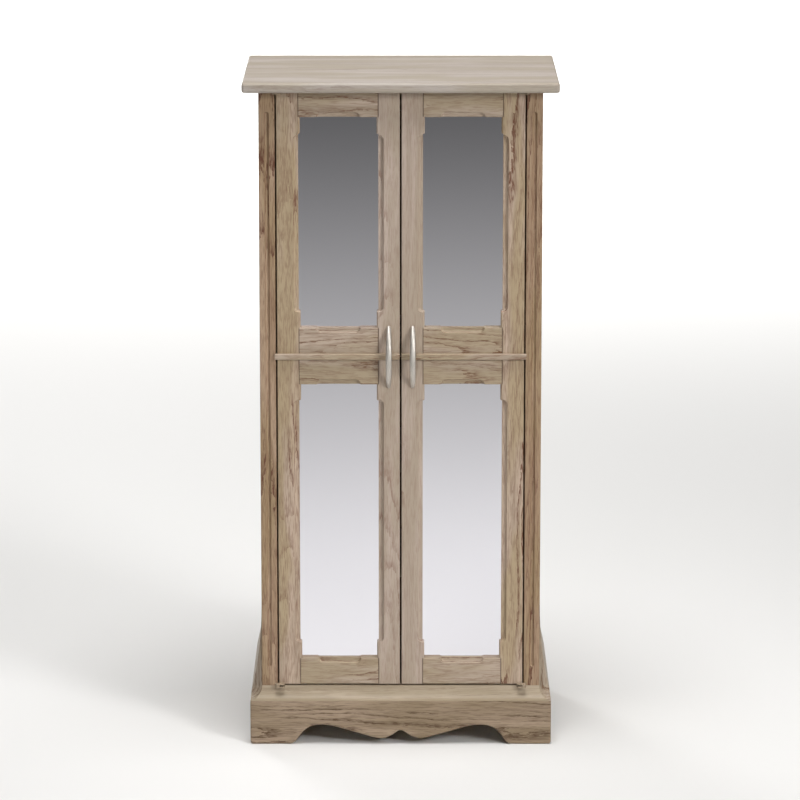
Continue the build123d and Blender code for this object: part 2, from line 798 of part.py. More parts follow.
handle_screw_tip = door_thickness + handle_screw_entry
with BuildPart() as handle_screw:
    with BuildSketch(Plane.XZ):
        with BuildLine():
            Polyline(
                (0, -2.6), (2.6, -2.6), (4, -1.4), (4, 0), (handle_screw_radius, 0),
                (handle_screw_radius, handle_screw_tip), (0, handle_screw_tip), close=True,
            )
        make_face()
    revolve(axis=Axis.Z)
with BuildPart() as handle_screws:
    with Locations([Location((handle_x, door_back_y, z), INTO_BACK) for z in handle_screw_z]):
        add(handle_screw.part)
save_door_pair(handle_screws.part, "handle_screws")


def mirror_rebate(low, high):
    """The step that a mirror and its backing are laid into from behind."""
    return block(
        (inner_joint_x - rebate_width, mirror_front_y, low - rebate_width),
        (outer_joint_x + rebate_width, door_back_y + 1, high + rebate_width),
    )


def corner_bit(joint_x, way, end_z, inward):
    """The short step on a stile beside a rail: rounded at its free end and bevelled in front."""
    edge_x = joint_x + way * corner_bit_width
    far_z = end_z + inward * corner_bit_length
    low_x, high_x = sorted((joint_x - way, edge_x))
    low_z, high_z = sorted((end_z, far_z))
    with BuildPart() as made:
        add(block((low_x, front_y, low_z), (high_x, door_back_y, high_z)))
        tip = made.edges().filter_by(Axis.Y).sort_by_distance(Vector(edge_x, front_y, far_z))[0]
        fillet(tip, corner_bit_width - 0.2)
        front_edge = made.edges().filter_by(Axis.Z).sort_by_distance(
            Vector(edge_x, front_y, (low_z + high_z) / 2)
        )[0]
        chamfer(front_edge, corner_bit_ease)
    return made.part


def door_stile(joint_x, far_x):
    """A full-height stile with stopped coves, corner bits, rebates and its screw holes."""
    way = 1 if joint_x > far_x else -1
    low_x, high_x = sorted((joint_x, far_x))
    with BuildPart() as made:
        add(board((low_x, front_y, door_low), (high_x, door_back_y, door_high)))
        for low, high in opening_spans:
            add(corner_bit(joint_x, way, low, 1))
            add(corner_bit(joint_x, way, high, -1))
        for low, high in (stile_cove_upper, stile_cove_lower):
            cove = stopped_cove(high - low, front_plane(joint_x, (low + high) / 2, (0, 0, 1)))
            add(cove, mode=Mode.SUBTRACT)
        for low, high in opening_spans:
            add(mirror_rebate(low, high), mode=Mode.SUBTRACT)
        for pocket in leaf_pockets:
            add(pocket, mode=Mode.SUBTRACT)
        add(door_screws, mode=Mode.SUBTRACT)
        add(handle_screws.part, mode=Mode.SUBTRACT)
    return made.part


save_door_pair(door_stile(outer_joint_x, door_outer_x), "outer_stile")
save_door_pair(door_stile(inner_joint_x, half_centre_gap), "inner_stile")


def door_rail(low, high, cove_z):
    """A rail between the stiles with one stopped cove on the edge next to the mirror."""
    with BuildPart() as made:
        add(board((inner_joint_x, front_y, low), (outer_joint_x, door_back_y, high)))
        cove = stopped_cove(
            opening_width - 2 * rail_cove_margin, front_plane(opening_mid_x, cove_z, (1, 0, 0))
        )
        add(cove, mode=Mode.SUBTRACT)
        for span_low, span_high in opening_spans:
            add(mirror_rebate(span_low, span_high), mode=Mode.SUBTRACT)
        for pocket in leaf_pockets:
            add(pocket, mode=Mode.SUBTRACT)
        add(door_screws, mode=Mode.SUBTRACT)
    return made.part


save_door_pair(door_rail(upper_opening[1], door_high, upper_opening[1]), "top_rail")
save_door_pair(door_rail(mid_joint_z, upper_opening[0], upper_opening[0]), "upper_mid_rail")
save_door_pair(door_rail(lower_opening[1], mid_joint_z, lower_opening[1]), "lower_mid_rail")
save_door_pair(door_rail(door_low, lower_opening[0], lower_opening[0]), "bottom_rail")

with BuildPart() as door_band:
    add(
        block(
            (half_centre_gap, front_y - band_projection, mid_joint_z - band_height / 2),
            (band_end_x, front_y, mid_joint_z + band_height / 2),
        )
    )
    front_edges = door_band.edges().filter_by(Axis.X).group_by(Axis.Y)[0]
    fillet(front_edges, band_round)
    add(
        block(
            (door_outer_x, front_y - band_relief, mid_joint_z - band_height),
            (band_end_x + 1, front_y + 1, mid_joint_z + band_height),
        ),
        mode=Mode.SUBTRACT,
    )
save_door_pair(door_band.part, "band")

reach = rebate_width - mirror_play
for opening_name, (low, high) in zip(("upper", "lower"), opening_spans):
    glass = block(
        (inner_joint_x - reach, mirror_front_y, low - reach),
        (outer_joint_x + reach, backing_front_y, high + reach),
    )
    save_door_pair(glass, f"{opening_name}_mirror")

with BuildPart() as mirror_backings:
    for low, high in opening_spans:
        add(
            block(
                (inner_joint_x - reach, backing_front_y, low - reach),
                (outer_joint_x + reach, door_back_y, high + reach),
            )
        )
save_door_pair(mirror_backings.part, "mirror_backings")

with BuildPart() as turn_buttons:
    for x, z in button_spots:
        lean = 1 if x < opening_mid_x else -1
        middle_x = x + lean * (button_size[0] / 2 - button_screw_end)
        with BuildSketch(Plane.XZ.offset(-door_back_y)):
            with Locations((middle_x, z)):
                SlotOverall(button_size[0], button_size[1])
        extrude(amount=-button_size[2])
    add(door_screws, mode=Mode.SUBTRACT)
save_door_pair(turn_buttons.part, "turn_buttons")

with BuildPart() as strike_plate:
    with BuildSketch(Plane.XZ.offset(-door_back_y)):
        with Locations((catch_x, strike_z)):
            RectangleRounded(*strike_size, plate_corner)
    extrude(amount=-strike_thickness)
    add(door_screws, mode=Mode.SUBTRACT)
save_door_pair(strike_plate.part, "strike_plate")

with BuildPart() as handle:
    with BuildSketch(Plane.YZ.offset(handle_x - handle_width / 2)):
        with BuildLine():
            ThreePointArc(
                (front_y, handle_z + handle_length / 2),
                (front_y - handle_reach, handle_z),
                (front_y, handle_z - handle_length / 2),
            )
            Line((front_y, handle_z - handle_length / 2), (front_y, handle_z - handle_grip_length / 2))
            ThreePointArc(
                (front_y, handle_z - handle_grip_length / 2),
                (front_y - handle_grip_reach, handle_z),
                (front_y, handle_z + handle_grip_length / 2),
            )
            Line((front_y, handle_z + handle_grip_length / 2), (front_y, handle_z + handle_length / 2))
        make_face()
    extrude(amount=handle_width)
    with BuildSketch(Plane.XZ.offset(-front_y), mode=Mode.PRIVATE) as handle_front:
        with BuildLine():
            right_top = (handle_x + handle_end_width / 2, handle_z + handle_length / 2)
            right_low = (handle_x + handle_end_width / 2, handle_z - handle_length / 2)
            left_top = (handle_x - handle_end_width / 2, handle_z + handle_length / 2)
            left_low = (handle_x - handle_end_width / 2, handle_z - handle_length / 2)
            ThreePointArc(right_top, (handle_x + handle_width / 2, handle_z), right_low)
            Line(right_low, left_low)
            ThreePointArc(left_low, (handle_x - handle_width / 2, handle_z), left_top)
            Line(left_top, right_top)
        make_face()
    extrude(handle_front.sketch, amount=handle_reach + 1, mode=Mode.INTERSECT)
    curved = [edge for edge in handle.edges() if edge.geom_type != GeomType.LINE]
    fillet(curved, handle_round)
    add(handle_screws.part, mode=Mode.SUBTRACT)
save_door_pair(handle.part, "handle")
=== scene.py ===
# %% [markdown]
# # A mirrored armoire with two doors
#
# The cabinet is a small jewellery armoire of washed oak: a slab top, two doors with four
# mirrors, bow handles, and a scalloped plinth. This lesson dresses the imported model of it.
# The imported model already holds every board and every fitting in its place, in metres, so
# the work here is finish: grain for each board, silver for the mirrors, and real screws.

import random
from math import cos, pi, radians, sin

import bmesh
import bpy
import numpy as np
from mathutils import Euler, Matrix, Vector


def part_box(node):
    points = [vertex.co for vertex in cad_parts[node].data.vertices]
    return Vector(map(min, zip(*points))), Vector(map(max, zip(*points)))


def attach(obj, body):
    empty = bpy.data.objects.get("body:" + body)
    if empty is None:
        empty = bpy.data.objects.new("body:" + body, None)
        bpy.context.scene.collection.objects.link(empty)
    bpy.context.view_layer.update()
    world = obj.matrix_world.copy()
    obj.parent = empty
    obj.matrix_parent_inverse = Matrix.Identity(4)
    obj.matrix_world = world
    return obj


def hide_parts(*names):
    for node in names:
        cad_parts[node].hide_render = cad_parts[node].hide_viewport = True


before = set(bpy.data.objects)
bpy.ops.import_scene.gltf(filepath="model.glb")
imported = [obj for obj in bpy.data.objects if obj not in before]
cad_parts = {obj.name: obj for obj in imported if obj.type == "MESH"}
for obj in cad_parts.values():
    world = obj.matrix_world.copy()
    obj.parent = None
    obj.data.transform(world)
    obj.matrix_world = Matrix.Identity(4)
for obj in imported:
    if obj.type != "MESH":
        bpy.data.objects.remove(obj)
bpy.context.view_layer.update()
scene = bpy.context.scene

# %% [markdown]
# ## The camera
#
# A cabinet is seen best from straight in front and a little above, as a person sees it from
# across a room, so that the top shows as a narrow strip. A long lens keeps the uprights
# nearly parallel. The camera stands well back and tilts down to the middle of the doors.

# %% Set up the camera
camera_place = Vector((-0.001, -6.5, 1.88))
camera_tilt = radians(11.95)

camera_data = bpy.data.cameras.new("camera")
camera_data.sensor_width = 36.0
camera_data.lens = 194.5
camera_data.dof.use_dof = False
camera = bpy.data.objects.new("camera", camera_data)
camera.location = camera_place
camera.rotation_euler = (radians(90) - camera_tilt, 0.0, 0.0)
scene.collection.objects.link(camera)
scene.camera = camera
scene.view_settings.view_transform = "Standard"
print("camera", camera_data.lens, "mm at", camera_place[:])

# %% [markdown]
# ## Two small tools for materials
#
# Colours are written as the hex numbers of a paint chart, and Blender's sockets want linear
# light, so one function turns the first into the second. The other adds a node to a tree,
# with its settings and whatever goes into it: a number, a colour, or another node's output.

# %% Colours and nodes


def chart(hex_number):
    """The linear colour of an sRGB hex number, with alpha."""
    parts = [int(hex_number[at:at + 2], 16) / 255 for at in (1, 3, 5)]
    return tuple(p / 12.92 if p <= 0.04045 else ((p + 0.055) / 1.055) ** 2.4 for p in parts) + (1.0,)


def node(tree, kind, inputs=None, out=0, **settings):
    """Add a node, set it up, feed its inputs, and return one of its outputs."""
    made = tree.nodes.new(kind)
    for key, value in settings.items():
        setattr(made, key, value)
    for key, value in (inputs or {}).items():
        if isinstance(value, bpy.types.NodeSocket):
            tree.links.new(value, made.inputs[key])
        else:
            made.inputs[key].default_value = value
    return made.outputs[out] if made.outputs else made


def new_material(name):
    """An empty node material with only its output."""
    made = bpy.data.materials.new(name)
    made.use_nodes = True
    made.node_tree.nodes.clear()
    return made


def finish_material(material, shader_inputs):
    """Add the surface shader, which takes these inputs, and the output."""
    tree = material.node_tree
    shader = node(tree, "ShaderNodeBsdfPrincipled", shader_inputs)
    node(tree, "ShaderNodeOutputMaterial", {"Surface": shader})
    return material


print("washed oak in linear light:", [round(c, 3) for c in chart("#A5948A")[:3]])

# %% [markdown]
# ## Floor and light
#
# The floor is plain and pale. A large softbox hangs over the cabinet, so the floor is bright
# near the doors and fades with distance, and that fade is what the mirrors show: bright at
# the bottom and dark at the top. A second softbox keeps the floor behind pale. The key
# light is on the right, so the left-hand edges of the coves fall into shade. Its beam and
# the fill's are narrow, as a gridded softbox's are, so they don't spill on the floor in front.
# A weak low softbox behind keeps the back panel and the left side from going dark.
#
# The world is white only to the camera, which gives the white background of a studio. To
# everything else it is nearly dark, so the softboxes alone shape the wood.

# %% Floor
floor_material = new_material("matt_floor_paint")
tree = floor_material.node_tree
spots = node(tree, "ShaderNodeTexNoise", {
    "Vector": node(tree, "ShaderNodeTexCoord", out="Object"), "Scale": 3.0, "Detail": 4.0,
})
floor_bump = node(tree, "ShaderNodeBump", {"Height": spots, "Strength": 0.02, "Distance": 0.001})
finish_material(floor_material, {
    "Base Color": chart("#E9E8E6"), "Roughness": 0.85, "Specular IOR Level": 0.2,
    "Normal": floor_bump,
})

floor_reach = 60.0  # from the cabinet's middle to each edge of the floor
floor_mesh = bpy.data.meshes.new("floor")
corners = [(-1, -1), (1, -1), (1, 1), (-1, 1)]
floor_mesh.from_pydata([(x * floor_reach, y * floor_reach, 0.0) for x, y in corners], [], [(0, 1, 2, 3)])
floor_mesh.materials.append(floor_material)
floor = bpy.data.objects.new("floor", floor_mesh)
scene.collection.objects.link(floor)

# %% Softboxes


def softbox(name, place, aim, size, power, spread=180.0):
    """A rectangular area light at a place, turned towards a point."""
    lamp = bpy.data.lights.new(name, "AREA")
    lamp.shape = "RECTANGLE"
    lamp.size, lamp.size_y = size
    lamp.energy = power
    lamp.spread = radians(spread)
    made = bpy.data.objects.new(name, lamp)
    made.location = place
    made.rotation_euler = (Vector(aim) - Vector(place)).to_track_quat("-Z", "Y").to_euler()
    scene.collection.objects.link(made)
    print(name, power, "W at", place)


softbox("overhead", (0.0, -0.9, 4.7), (0.0, -0.9, 0.0), (2.2, 2.2), 180.0)
softbox("overhead_rear", (0.0, 7.0, 5.5), (0.0, 7.0, 0.0), (8.0, 6.0), 420.0, 100.0)
softbox("key", (3.2, -3.6, 2.6), (0.0, 0.0, 0.55), (1.4, 1.4), 12.0, 50.0)
softbox("fill", (-1.2, -6.2, 2.2), (0.0, 0.0, 0.5), (1.2, 1.2), 1.2, 30.0)
softbox("back_fill", (-2.3, 4.4, 1.5), (0.0, 0.2, 0.5), (1.4, 1.4), 6.0, 36.0)

# %% World
light_of_world, white_to_camera = 0.04, 0.9

world = bpy.data.worlds.new("studio")
scene.world = world
world.use_nodes = True
world.node_tree.nodes.clear()
sky = node(world.node_tree, "ShaderNodeMapRange", {
    "Value": node(world.node_tree, "ShaderNodeLightPath", out="Is Camera Ray"),
    "To Min": light_of_world, "To Max": white_to_camera,
})
backdrop = node(world.node_tree, "ShaderNodeBackground", {"Color": chart("#FAFBFC"), "Strength": sky})
node(world.node_tree, "ShaderNodeOutputWorld", {"Surface": backdrop})

# %% [markdown]
# ## Washed oak
#
# The boards are oak that was brushed along the grain and washed with a thin grey stain under
# a satin lacquer. What the eye gets from that is a pale ground that wanders between grey,
# olive and pink, growth rings that show as ragged brown lines where the big pores lie, and a
# soft sheen. Oak has a ring every 3 to 6 mm and pores 0.3 mm wide, which are too fine to show
# at this size, so the pores here are drawn about 1.3 mm wide and 12 mm long, and a fainter
# speckle of longer fibres lies between them.
#
# A trunk is a bundle of cylinders, so the shader measures how far each point is from the
# middle of a trunk that leans a little against the board. The board then cuts the rings at a
# slant, and they close in arches, as they do on a real flat-sawn board. Two other ways are a
# stretched noise, which has no arches, and the Wave texture, which can't vary from ring to ring.

# %% The finish of one board
# Spots per metre along and across the grain.
pore_spots, patch_spots, streak_spots = (80.0, 760.0), (4.0, 26.0), (2.0, 80.0)
cloud_spots, fibre_spots = (4.0, 24.0), (40.0, 700.0)
# The same, and how far they push a ring sideways in metres.
sways = ((2.6, 13.0, 0.022), (22.0, 60.0, 0.0040), (110.0, 330.0, 0.0018))
# The dark line at both ends of each door rail: stain gathered in the joint, and painted shade standing in
# for the hairline gap between rail and stile.
joint_stain_and_shade, joint_darkening_starts, joint_darkening_is_full = "#4A3626", 0.0013, 0.0006  # metres from the joint


def grain_turn(axes, lean):
    """The turn that takes along, across and through the board to X, Y and Z, with the trunk's lean."""
    rows = [{"X": Vector((1, 0, 0)), "Y": Vector((0, 1, 0)), "Z": Vector((0, 0, 1))}[a] for a in axes]
    if rows[0].cross(rows[1]).dot(rows[2]) < 0:
        rows[2] = -rows[2]
    turn = Matrix(rows)
    return Euler((0.0, radians(lean[0]), radians(lean[1]))).to_matrix() @ turn


def stretched_noise(tree, plank, spots, detail, seed):
    """Noise with so many spots per metre along and across the grain."""
    along, across = spots
    squeezed = node(tree, "ShaderNodeMapping", {
        "Vector": plank, "Scale": (along, across, across), "Location": (seed, 2 * seed, 3 * seed),
    })
    return node(tree, "ShaderNodeTexNoise", {
        "Vector": squeezed, "Scale": 1.0, "Detail": detail, "Roughness": 0.55,
    })


def ramp(tree, value, low, high, start=0.0, end=1.0):
    """A soft step from start to end as the value goes from low to high."""
    return node(tree, "ShaderNodeMapRange", {
        "Value": value, "From Min": low, "From Max": high, "To Min": start, "To Max": end,
    }, interpolation_type="SMOOTHSTEP")


def maths(tree, operation, *values):
    """One Math node: its operation, then what goes into it."""
    return node(tree, "ShaderNodeMath", dict(enumerate(values)), operation=operation)


def blend_colours(tree, factor, first, second):
    """Mix two colours."""
    return node(tree, "ShaderNodeMix", {0: factor, 6: first, 7: second}, out=2, data_type="RGBA")


def centred_noise(tree, plank, along, across, seed):
    """Three noises at once, as a vector about zero, for pushing the rings about."""
    squeezed = node(tree, "ShaderNodeMapping", {
        "Vector": plank, "Scale": (along, across, across), "Location": (seed, seed, seed),
    })
    noise = node(tree, "ShaderNodeTexNoise", {"Vector": squeezed, "Scale": 1.0, "Detail": 2.0}, out=1)
    return node(tree, "ShaderNodeVectorMath", {0: noise, 1: (0.5, 0.5, 0.5)}, operation="SUBTRACT")


def washed_oak(name, axes, centre, seed, ground, pale, olive, pore, figure, ring, pith, lean,
               roughness=0.5, patch=0.5, joint=None):
    """Washed oak for one board: axes are along, across and through it; pith is where the trunk's
    middle lies, across and behind the face; figure is how strongly the pores show, and patch is
    the share of the board where they do. joint is the distance along the board from its middle
    to its ends, which are darkened with stain and with painted shade of the joint's gap."""
    material = new_material(name)
    tree = material.node_tree
    turn = grain_turn(axes, lean)
    shift = Vector((1.7 * seed, 0.0, 0.0)) - turn @ Vector(centre)
    plank = node(tree, "ShaderNodeMapping", {
        "Vector": node(tree, "ShaderNodeTexCoord", out="Object"),
        "Rotation": turn.to_euler(), "Location": shift,
    })
    swayed = plank
    for along, across, reach in sways:
        swayed = node(tree, "ShaderNodeVectorMath", {
            0: centred_noise(tree, plank, along, across, seed), 1: (0.0, reach, reach), 2: swayed,
        }, operation="MULTIPLY_ADD")
    from_pith = node(tree, "ShaderNodeVectorMath", {
        0: swayed, 1: (0.0, pith[0], pith[1]),
    }, operation="SUBTRACT")
    round_trunk = node(tree, "ShaderNodeVectorMath", {
        0: from_pith, 1: (0.0, 1.0, 1.0),
    }, operation="MULTIPLY")
    radius = node(tree, "ShaderNodeVectorMath", {0: round_trunk}, out="Value", operation="LENGTH")
    phase = maths(tree, "DIVIDE", radius, ring)
    year = maths(tree, "FLOOR", phase)
    within = maths(tree, "FRACT", phase)
    good_year = node(tree, "ShaderNodeTexWhiteNoise", {"W": maths(tree, "ADD", year, seed)},
                     noise_dimensions="1D")
    early = maths(tree, "MULTIPLY", ramp(tree, within, 0.55, 0.0), ramp(tree, within, 1.0, 0.95))
    rings = maths(tree, "MULTIPLY", early, ramp(tree, good_year, 0.2, 0.8, 0.25, 1.0))
    pores = ramp(tree, stretched_noise(tree, plank, pore_spots, 3.0, seed + 5.0), 0.42, 0.60)
    patches = ramp(tree, stretched_noise(tree, plank, patch_spots, 2.0, seed + 7.0),
                   0.62 - 0.24 * patch, 0.74 - 0.24 * patch, 0.10, 1.0)
    strength = maths(tree, "MULTIPLY", patches, maths(tree, "MULTIPLY_ADD", pores, 0.75, 0.25))
    dark = maths(tree, "MULTIPLY", maths(tree, "MULTIPLY", rings, strength), 1.6 * figure)
    dark = node(tree, "ShaderNodeClamp", {"Value": dark})

    streaks = ramp(tree, stretched_noise(tree, plank, streak_spots, 3.0, seed + 11.0), 0.38, 0.62)
    cloud = ramp(tree, stretched_noise(tree, plank, cloud_spots, 2.0, seed + 13.0), 0.42, 0.60)
    colour = blend_colours(tree, streaks, chart(ground), chart(pale))
    colour = blend_colours(tree, maths(tree, "MULTIPLY", cloud, 0.8), colour, chart(olive))
    fibres = stretched_noise(tree, plank, fibre_spots, 2.0, seed + 17.0)
    speckle = ramp(tree, fibres, 0.37, 0.53, 0.16 + 0.22 * figure, 0.0)
    colour = blend_colours(tree, speckle, colour, chart(pore))
    colour = blend_colours(tree, dark, colour, chart(pore))
    # Darken the rail's ends: stain in the joint, plus painted shade where the gap between rail and stile
    # would be.
    if joint:
        straight = node(tree, "ShaderNodeTexCoord", out="Object")
        from_middle = node(tree, "ShaderNodeVectorMath", {0: straight, 1: centre}, operation="SUBTRACT")
        apart = node(tree, "ShaderNodeSeparateXYZ", {0: from_middle}, out=axes[0])
        from_centre = maths(tree, "ABSOLUTE", apart)
        joint_darkening = ramp(tree, from_centre, joint - joint_darkening_starts, joint - joint_darkening_is_full, 0.0, 0.75)
        colour = blend_colours(tree, joint_darkening, colour, chart(joint_stain_and_shade))

    height = maths(tree, "MULTIPLY_ADD", dark, -1.0, fibres)
    bump = node(tree, "ShaderNodeBump", {"Height": height, "Strength": 0.35, "Distance": 0.0003})
    return finish_material(material, {
        "Base Color": colour, "IOR": 1.5, "Normal": bump,
        "Roughness": ramp(tree, fibres, 0.3, 0.7, roughness - 0.06, roughness + 0.08),
    })


# %% [markdown]
# ## Which board gets which piece of oak
#
# On real joinery the grain runs along each board: upright on the stiles and the sides,
# sideways on the rails, the top, the moulding and the plinth. No two boards are alike, so
# each has its own place in the trunk and its own tint. The stiles by the hinges are yellower
# and more figured than the ones in the middle, the cabinet's own stiles are browner still,
# and the plinth is the darkest.

# %% Oak for every board
UPRIGHT, LEVEL, FLAT, SIDEWAYS, CROSSWISE = "ZXY", "XZY", "XYZ", "ZYX", "YZX"
oaks = {
    "top": dict(ground="#A99E93", pale="#B7AEA6", olive="#A69B8A", pore="#87766A", figure=0.45,
                ring=0.0045, roughness=0.6, patch=0.8),
    "outer": dict(ground="#B09C88", pale="#C0AB97", olive="#AC9877", pore="#6E4833", figure=1.25,
                  ring=0.0042, patch=0.95),
    "inner": dict(ground="#AE9D8D", pale="#BCAB9D", olive="#AB9B88", pore="#88695A", figure=0.6,
                  ring=0.0042, patch=0.8),
    "rail": dict(ground="#AA9986", pale="#B9A795", olive="#A59478", pore="#76563F", figure=1.0,
                 ring=0.0034, patch=0.95),
    "face": dict(ground="#9F8469", pale="#B0967C", olive="#9E8665", pore="#623B26", figure=1.25,
                 ring=0.0042, patch=0.95),
    "plinth": dict(ground="#97836C", pale="#A7927B", olive="#8B785D", pore="#5C452F", figure=1.15,
                   ring=0.0052, patch=0.75),
    "moulding": dict(ground="#A4947D", pale="#B3A38D", olive="#9B8C73", pore="#7C6750", figure=0.35,
                     ring=0.005, patch=0.7),
    "side": dict(ground="#A29382", pale="#B2A28F", olive="#998B73", pore="#6C4F36", figure=1.1,
                 ring=0.006, patch=0.8),
    "inside": dict(ground="#AD9A82", pale="#B9A78E", olive="#A2906F", pore="#83684B", figure=0.5,
                   ring=0.006),
}
boards = {
    "top_slab": ("top", FLAT), "base_moulding": ("moulding", LEVEL), "skirt_front": ("plinth", LEVEL),
    "skirt_side_left": ("plinth", CROSSWISE), "skirt_side_right": ("plinth", CROSSWISE),
    "skirt_back": ("plinth", LEVEL), "glue_blocks": ("inside", UPRIGHT),
    "side_panel_left": ("side", SIDEWAYS), "side_panel_right": ("side", SIDEWAYS),
    "face_stile_left": ("face", UPRIGHT), "face_stile_right": ("face", UPRIGHT),
    "bottom_board": ("inside", FLAT), "middle_shelf": ("inside", FLAT),
    "lower_shelf": ("inside", FLAT), "upper_shelf": ("inside", FLAT),
    "top_front_rail": ("inside", FLAT), "top_rear_rail": ("inside", FLAT),
    "hook_rail": ("inside", LEVEL),
}
doors = ("left_door", "right_door")
for door in doors:
    boards[f"{door}_outer_stile"] = ("outer", UPRIGHT)
    boards[f"{door}_inner_stile"] = ("inner", UPRIGHT)
    for rail in ("top_rail", "upper_mid_rail", "lower_mid_rail", "bottom_rail", "band"):
        boards[f"{door}_{rail}"] = ("rail", LEVEL)

trunk = random.Random(7)
for count, (board, (oak, axes)) in enumerate(boards.items()):
    low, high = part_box(board)
    place = dict(
        pith=(trunk.uniform(-0.02, 0.02), trunk.uniform(0.03, 0.09)),
        lean=(trunk.choice((-1, 1)) * trunk.uniform(1.2, 3.0), trunk.uniform(-1.0, 1.0)),
    )
    if board.startswith(doors) and board.endswith("_rail"):
        place["joint"] = (high.x - low.x) / 2
    material = washed_oak(f"washed_oak_{board}", axes, (low + high) / 2, count, **oaks[oak], **place)
    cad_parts[board].data.materials[0] = material
print(len(boards), "boards of washed oak")

# %% [markdown]
# ## Mirrors and hardboard
#
# The mirrors are 4 mm float glass, silvered behind. A ray goes through clean glass and comes
# back off the silver, which a smooth metal with a very slight cool tint does as well and with
# less noise than real glass in front of metal. Hardboard is pressed brown fibre, smooth on one
# side: a fine mottle of fibres in all directions. It backs the cabinet and the mirrors.

# %% Silvered glass
silvered_glass = new_material("silvered_float_glass")
tree = silvered_glass.node_tree
where = node(tree, "ShaderNodeTexCoord", out="Object")
haze = node(tree, "ShaderNodeTexNoise", {"Vector": where, "Scale": 9.0, "Detail": 3.0})
finish_material(silvered_glass, {
    "Base Color": chart("#F1F0F6"), "Metallic": 1.0,
    "Roughness": ramp(tree, haze, 0.35, 0.65, 0.015, 0.03),
})

# %% Hardboard
hardboard = new_material("hardboard")
tree = hardboard.node_tree
where = node(tree, "ShaderNodeTexCoord", out="Object")
fibre = node(tree, "ShaderNodeTexNoise", {"Vector": where, "Scale": 420.0, "Detail": 4.0})
mottle = node(tree, "ShaderNodeTexNoise", {"Vector": where, "Scale": 60.0, "Detail": 4.0})
colour = blend_colours(tree, ramp(tree, mottle, 0.35, 0.65), chart("#765A3F"), chart("#7C6045"))
colour = blend_colours(tree, ramp(tree, fibre, 0.45, 0.70, 0.0, 0.55), colour, chart("#543D2A"))
finish_material(hardboard, {
    "Base Color": colour, "Roughness": ramp(tree, fibre, 0.3, 0.7, 0.55, 0.75), "IOR": 1.5,
    "Normal": node(tree, "ShaderNodeBump", {"Height": fibre, "Strength": 0.3, "Distance": 0.0002}),
})

# %% [markdown]
# ## Metals and plastic
#
# Satin nickel is plated, then brushed and lacquered: a warm grey with a soft, even sheen. The
# zinc of the screws is bluer, with the faint cloudiness of a barrel-plated bath. The knife
# hinges are steel under a grey-brown lacquer close to the oak, so they hardly show below the
# doors. The cup hooks are brass, a little dulled. The catches are moulded in brown ABS with a
# fine spark-eroded grain. Metals keep Blender's own IOR, and only their colour, roughness and
# a fine bump tell them apart.

# %% Plated and moulded parts


def fitting(name, colour, second, metallic, roughness, spots_per_metre, bump_depth):
    """A fitting's finish: two near tints mixed by a cloud, with a fine grain in the sheen."""
    material = new_material(name)
    tree = material.node_tree
    where = node(tree, "ShaderNodeTexCoord", out="Object")
    cloud = node(tree, "ShaderNodeTexNoise", {"Vector": where, "Scale": 90.0, "Detail": 3.0})
    grain = node(tree, "ShaderNodeTexNoise", {"Vector": where, "Scale": spots_per_metre, "Detail": 2.0})
    return finish_material(material, {
        "Base Color": blend_colours(tree, ramp(tree, cloud, 0.35, 0.65), chart(colour), chart(second)),
        "Metallic": metallic, "Roughness": ramp(tree, grain, 0.3, 0.7, roughness - 0.05, roughness + 0.05),
        "Normal": node(tree, "ShaderNodeBump", {
            "Height": grain, "Strength": 0.25, "Distance": bump_depth,
        }),
    })


satin_nickel = fitting("satin_nickel_plate", "#D2CDC6", "#C8C3BB", 1.0, 0.55, 1800.0, 0.00002)
zinc_plate = fitting("zinc_plated_steel", "#C3C7CA", "#B4B8BB", 1.0, 0.50, 1200.0, 0.00003)
lacquered_steel = fitting("lacquered_steel", "#A6947E", "#9A8872", 0.0, 0.5, 1200.0, 0.00003)
dull_brass = fitting("dull_brass", "#C9A765", "#B08F52", 1.0, 0.32, 1500.0, 0.00002)
brown_abs = fitting("brown_moulded_abs", "#453227", "#3D2C22", 0.0, 0.48, 1500.0, 0.00005)

finish_of_slot = {
    "hardboard": hardboard, "mirror_glass": silvered_glass, "satin_nickel": satin_nickel,
    "zinc_steel": zinc_plate, "lacquered_steel": lacquered_steel, "brass": dull_brass,
    "brown_plastic": brown_abs,
}
plain = {n: o.data.materials[0].name.split(".")[0] for n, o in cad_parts.items() if n not in boards}
for fitting_node, slot_name in plain.items():
    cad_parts[fitting_node].data.materials[0] = finish_of_slot[slot_name]
print("fittings:", sorted(set(plain.values())))

# %% [markdown]
# ## Bow handles
#
# Each handle is a cast bow, widest in the middle and deepest at its feet, filed to an oval
# and plated. It could be a curve with a bevel, but a bevel keeps one section all the way, so
# the bow is built ring by ring: eight points to a ring, set square to an arc, and two levels
# of subdivision to round them. The last rings are cut off flat on the door.

# %% One bow handle
bow_rings, ring_corners = 15, 8
foot_cut = 0.0006  # a ring this close to the foot keeps its edge crisp
bow_thick, bow_foot_thick = 0.0056, 0.0072
foot_slimmer = 0.0022  # how much narrower the bow is at its feet than in the middle
foot_inset = 0.62  # of the foot's thickness, from the box's end to the foot's middle
swell_out, swell_across = 1.15, 1.18  # rounding pulls the rings in by about this much


